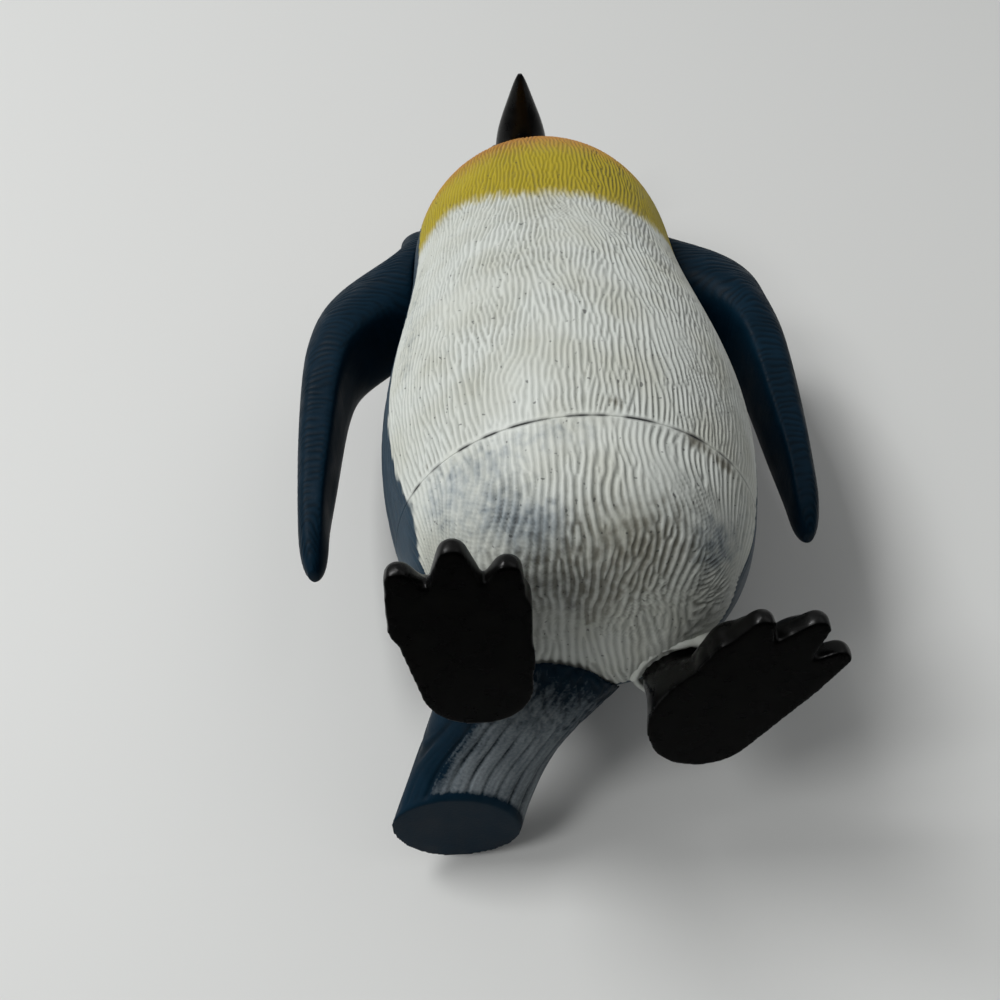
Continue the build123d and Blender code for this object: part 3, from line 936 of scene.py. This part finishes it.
@dataclass
class Tail:
    """Flattened stub with long feather grooves under a dry mist of white, cut off flat at the ground."""

    solid: Solid
    root: tuple[float, float, float] = (-1.0, 5.5, 13.0)
    end: tuple[float, float, float] = (-17.8, 27.0, 0.0)
    # Way back and way aside of the tail's middle line
    bend: tuple[tuple[float, float], ...] = (
        (-3.5, 0.0), (9.3, -8.1), (18.2, -13.1), (26.8, -17.6), (40.0, -24.0),
    )
    underside: tuple[float, float, float] = (0.42, -0.7, -0.7)
    groove_pitch: float = 2.6
    fine_grooves: float = 3.3
    groove_depth: float = 0.34
    voxel: float = 0.3

    def build(self, vinyl: Material) -> None:
        """Makes the tail.

        Args:
            vinyl: Finish of the tail.
        """
        skin = self.solid.even_skin("tail_skin", self.voxel, 2)
        points, normals = vertex_array(skin), vertex_normals(skin)
        start, stop = np.array(self.root), np.array(self.end)
        along = (stop - start) / np.linalg.norm(stop - start)
        way = points - start
        aside = points[:, 0] - np.interp(points[:, 1], *zip(*self.bend))
        sway = noise_at(points, 9, 5.0) * 0.7
        lane = (aside + sway) / self.groove_pitch
        off_line = np.abs(lane - np.round(lane)) * self.groove_pitch
        fine_lane = (aside + sway * 1.6) / self.groove_pitch * self.fine_grooves
        fine = 0.3 * smoothstep(0.22, 0.05, np.abs(fine_lane - np.round(fine_lane)))
        relief = 1 - np.maximum(smoothstep(0.38, 0.06, off_line), fine)
        flat = smoothstep(0.25, 1.0, points[:, 2])
        reach = way @ along
        near_root = smoothstep(16, 6, reach)
        scribble = smoothstep(-0.1, 0.45, noise_at(points, (0.6, 1.5, 0.8), 71.0)) * near_root
        calm = 0.6 + 0.4 * smoothstep(-0.4, 0.3, noise_at(points, 5, 61.0))
        amount = flat * (1 - 0.65 * near_root) * calm
        depth = self.groove_depth * amount * (1 - relief) + 0.16 * scribble * flat
        points = points - normals * depth[:, None]
        points[:, 2] = np.maximum(points[:, 2], 0.0)
        set_vertices(skin, points)
        under = smoothstep(0.1, 0.8, normals @ np.array(self.underside))
        stretched = np.column_stack([aside, reach * 0.12, points[:, 2] * 0.12])
        lines = noise_at(stretched, 0.55, 23.0)
        patchy = 0.14 * noise_at(points, 4, 23.0) + 0.2 * lines
        rubbed = under * flat * smoothstep(-8.0, 10.0, reach) * smoothstep(-10.0, -4.5, aside)
        haze = 0.84 * rubbed + patchy * under - 0.26
        set_fields(skin, groove=np.maximum((1 - relief) * amount, scribble * 0.5), haze=haze)
        link_piece("tail_skin", skin, vinyl, "figure", ("tail",))


@dataclass
class Head:
    """Smooth head on a short neck, with fine feather strands and orange cheek patches."""

    solid: Solid
    strands: Strands = Strands(1.7, 200, girth=100.0, wide=3.0, long=7.0, lean=0.2)
    step: float = 0.55
    around: int = 240
    depth: float = 0.13

    def build(self, paint: Material, neck: float) -> None:
        """Makes the head's skin.

        Args:
            paint: Finish of the head.
            neck: Height of the joint to the body.
        """
        points = vertex_array(self.solid.thing.data)
        high = points[:, 2].max()
        turns = np.linspace(-math.pi, math.pi, self.around + 1)
        ways = np.column_stack([np.sin(turns), -np.cos(turns), np.zeros(len(turns))])
        crown = [high - 0.3, high - 0.12, high - 0.03]
        levels = np.concatenate([np.arange(neck + 0.02, high - 0.5, self.step), crown])
        rings = []
        for level in levels:
            near = points[(np.abs(points[:, 2] - level) < 1.0) & (points[:, 2] > neck)]
            middle = np.array([*((near.max(axis=0) + near.min(axis=0)) / 2)[:2], level])
            rings.append([middle + way * self.solid.reach(middle, way) for way in ways])
        skin = grid_mesh("head_skin", np.array(rings))
        self.dress(skin, neck, high)
        link_piece("head_skin", skin, paint, "figure", ("head",))

    def dress(self, mesh: Mesh, neck: float, high: float) -> None:
        """Presses in the strands and writes the paint fields.

        Args:
            mesh: Smooth skin of the head.
            neck: Height of the joint to the body.
            high: Height of the crown.
        """
        points, normals = vertex_array(mesh), vertex_normals(mesh)
        rise = (points[:, 2] - neck) / (high - neck)
        middle_x = np.interp(rise, (0, 1), (0.99, -2.5))
        middle_y = np.interp(rise, (0, 0.6, 1), (-9.6, -3.5, -1.6))
        angle = np.arctan2(points[:, 0] - middle_x, -(points[:, 1] - middle_y))
        relief = self.strands.relief(points, angle * self.strands.girth / (2 * math.pi), points[:, 2])
        calm = 0.6 + 0.4 * smoothstep(-0.4, 0.3, noise_at(points, 6, 8.0))
        amount = smoothstep(1.0, 0.9, rise) * calm
        set_vertices(mesh, points - normals * (self.depth * amount * (1 - relief))[:, None])
        degrees = np.abs(np.degrees(angle))
        patch_turn = np.interp(rise, (0.0, 0.2, 0.45, 0.75), (48, 82, 104, 100))
        patch_half = np.interp(rise, (0.0, 0.12, 0.3, 0.5, 0.66, 0.72), (30, 16, 17, 21, 10, -12))
        cheek = (patch_half - np.abs(degrees - patch_turn)) * 0.2
        throat = np.minimum((62 - degrees) * 0.22, (0.05 + 0.15 * (degrees / 52) ** 2 - rise) * 30)
        set_fields(mesh, patch_mm=np.maximum(cheek, throat), bright=smoothstep(0.35, 0.02, rise),
                   groove=(1 - relief) * amount)


@dataclass
class Studio:
    """Pale table behind the figure's back, floor under it, soft lamps and the camera."""

    camera_place: tuple[float, float, float]
    table: float
    pitch: float = 46.62
    roll: float = -2.78
    heading: float = -0.14
    lens: float = 36.0
    paper_colour: str = "#d2d3d1"
    paper_size: float = 2400.0

    def aim(self) -> Matrix:
        """The camera's turn from its heading, pitch and roll."""
        pitch, roll, heading = (math.radians(v) for v in (self.pitch, self.roll, self.heading))
        level = Vector((math.sin(heading), math.cos(heading), 0))
        ahead = level * math.cos(pitch) + Vector((0, 0, math.sin(pitch)))
        right = Vector((math.cos(heading), -math.sin(heading), 0))
        up = right.cross(ahead)
        turned = right * math.cos(roll) + up * math.sin(roll)
        lifted = up * math.cos(roll) - right * math.sin(roll)
        return Matrix((turned, lifted, -ahead)).transposed().to_4x4()

    def paper(self, name: str, seen_only: bool) -> Material:
        """Matt paper that shows from its front only.

        Args:
            name: The material's name.
            seen_only: Whether light passes through it.

        Returns:
            The finished material.
        """
        material, tree, out = new_material(name)
        behind = node(tree, "ShaderNodeNewGeometry").outputs["Backfacing"]
        before = node(tree, "ShaderNodeMath", {0: 1.0, 1: behind}, operation="SUBTRACT").outputs[0]
        if seen_only:
            seen = node(tree, "ShaderNodeLightPath").outputs["Is Camera Ray"]
            before = node(tree, "ShaderNodeMath", {0: before, 1: seen}, operation="MULTIPLY").outputs[0]
        inputs = {"Base Color": linear(self.paper_colour), "Roughness": 0.6}
        sheet = node(tree, "ShaderNodeBsdfPrincipled", inputs)
        gone = node(tree, "ShaderNodeBsdfTransparent")
        mix = node(tree, "ShaderNodeMixShader", {0: before, 1: gone.outputs[0], 2: sheet.outputs[0]})
        tree.links.new(mix.outputs[0], out.inputs[0])
        return material

    def sheet(self, name: str, place: Vector, normal: Vector, seen_only: bool) -> None:
        """Lays one flat square of paper.

        Args:
            name: The sheet's name.
            place: Its middle in millimetres.
            normal: The way its front faces.
            seen_only: Whether light passes through it.
        """
        form = bmesh.new()
        turn = normal.to_track_quat("Z", "Y").to_matrix().to_4x4()
        bmesh.ops.create_grid(form, x_segments=1, y_segments=1, size=self.paper_size / 2 * MM,
                              matrix=Matrix.Translation(place * MM) @ turn)
        mesh = written(form, name)
        mesh.materials.append(self.paper(f"{name}_paper", seen_only))
        thing = placed(name, mesh)

    def lamp(self, name: str, place: tuple[float, float, float], target: tuple[float, float, float],
             power: float, size: float) -> None:
        """Hangs one square soft lamp.

        Args:
            name: The lamp's name.
            place: Where it hangs in millimetres.
            target: Where it points.
            power: Its power in watts.
            size: Length of a side in millimetres.
        """
        light = bpy.data.lights.new(name, "AREA")
        light.energy, light.size = power, size * MM
        thing = placed(name, light)
        thing.location = Vector(place) * MM
        thing.rotation_euler = (Vector(target) - Vector(place)).to_track_quat("-Z", "Y").to_euler()

    def sky(self) -> World:
        """Pale surroundings, brighter above and before the figure.

        Returns:
            The finished world.
        """
        world = bpy.data.worlds.new("studio")
        world.use_nodes = True
        tree = world.node_tree
        tree.nodes.clear()
        way = node(tree, "ShaderNodeTexCoord").outputs["Generated"]
        bright_side = (-0.2, -0.75, 0.6)
        rise = node(tree, "ShaderNodeVectorMath", {0: way, 1: bright_side}, operation="DOT_PRODUCT")
        level = ramp(tree, rise.outputs[1], -0.2, 0.8, 0.08, 0.46)
        glow = node(tree, "ShaderNodeBackground", {"Color": linear("#e6e7e8"), "Strength": level})
        out = node(tree, "ShaderNodeOutputWorld")
        tree.links.new(glow.outputs[0], out.inputs[0])
        return world

    def build(self) -> None:
        """Sets up the stage, the lamps, the world and the camera."""
        tilt = Vector((0, -1.0, -TABLE_LEAN)).normalized()
        self.sheet("table", Vector((0, self.table, 0)), tilt, False)
        self.sheet("floor", Vector((0, 0, -0.02)), Vector((0, 0, 1)), True)
        self.lamp("key", (-560, -900, 200), (0, 0, 60), 6.6, 380)
        self.lamp("low", (-560, -700, -330), (0, 0, 60), 2.6, 260)
        self.lamp("fill", (500, -760, 40), (0, 0, 60), 0.55, 600)
        self.lamp("back", (150, 420, 420), (0, 0, 90), 1.2, 400)
        scene = bpy.context.scene
        scene.world = self.sky()
        scene.view_settings.view_transform = "Standard"
        camera = bpy.data.cameras.new("camera")
        camera.lens, camera.sensor_width, camera.sensor_fit = self.lens, 36.0, "HORIZONTAL"
        camera.clip_start, camera.clip_end = 0.005, 20.0
        thing = placed("camera", camera)
        thing.matrix_world = Matrix.Translation(Vector(self.camera_place) * MM) @ self.aim()
        scene.camera = thing


def recoat(thing: Object, material: Material) -> None:
    """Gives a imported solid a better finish."""
    thing.data.materials.clear()
    thing.data.materials.append(material)


def main() -> None:
    """Builds the figure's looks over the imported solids."""
    logging.basicConfig(level=logging.INFO, format="%(name)s %(message)s")
    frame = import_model()
    solids = {name: Solid(thing) for name, thing in frame["nodes"].items()}
    paint, vinyl, lacquer = FeatherPaint().build(), BlueVinyl().build(), BlackLacquer().build()
    low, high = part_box("upper_body")
    axis = ((low.x + high.x) / 2 / MM, (low.y + high.y) / 2 / MM)
    feet = {joint["name"]: joint["pos_m"] for joint in frame["record"]["behaviour"]["joints"]}
    BodyShell(solids["upper_body"], solids["lower_body"], axis).build(paint)
    for side in Side:
        place = feet[f"{side.word}_foot_swivel"]
        LegCuff(side, (place[0] / MM, place[1] / MM), axis).build(paint)
        Flipper(solids[f"{side.word}_flipper"], side).build(vinyl)
        Foot(solids[f"{side.word}_foot"], side).build(lacquer)
        recoat(frame["nodes"][f"{side.word}_eye"], lacquer)
    Tail(solids["tail"]).build(vinyl)
    Head(solids["head"]).build(HeadPaint().build(), high.z / MM)
    recoat(frame["nodes"]["beak"], lacquer)
    slope = np.array([0, 1, TABLE_LEAN])
    lying = max((vertex_array(solid.thing.data) @ slope).max() for solid in solids.values())
    LOG.info("table at %.2f mm", lying)
    camera = (axis[0] + CAMERA_PLACE[0], axis[1] + CAMERA_PLACE[1], CAMERA_PLACE[2])
    Studio(camera, lying + TABLE_GAP).build()
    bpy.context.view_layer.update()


if __name__ == "__main__":
    main()
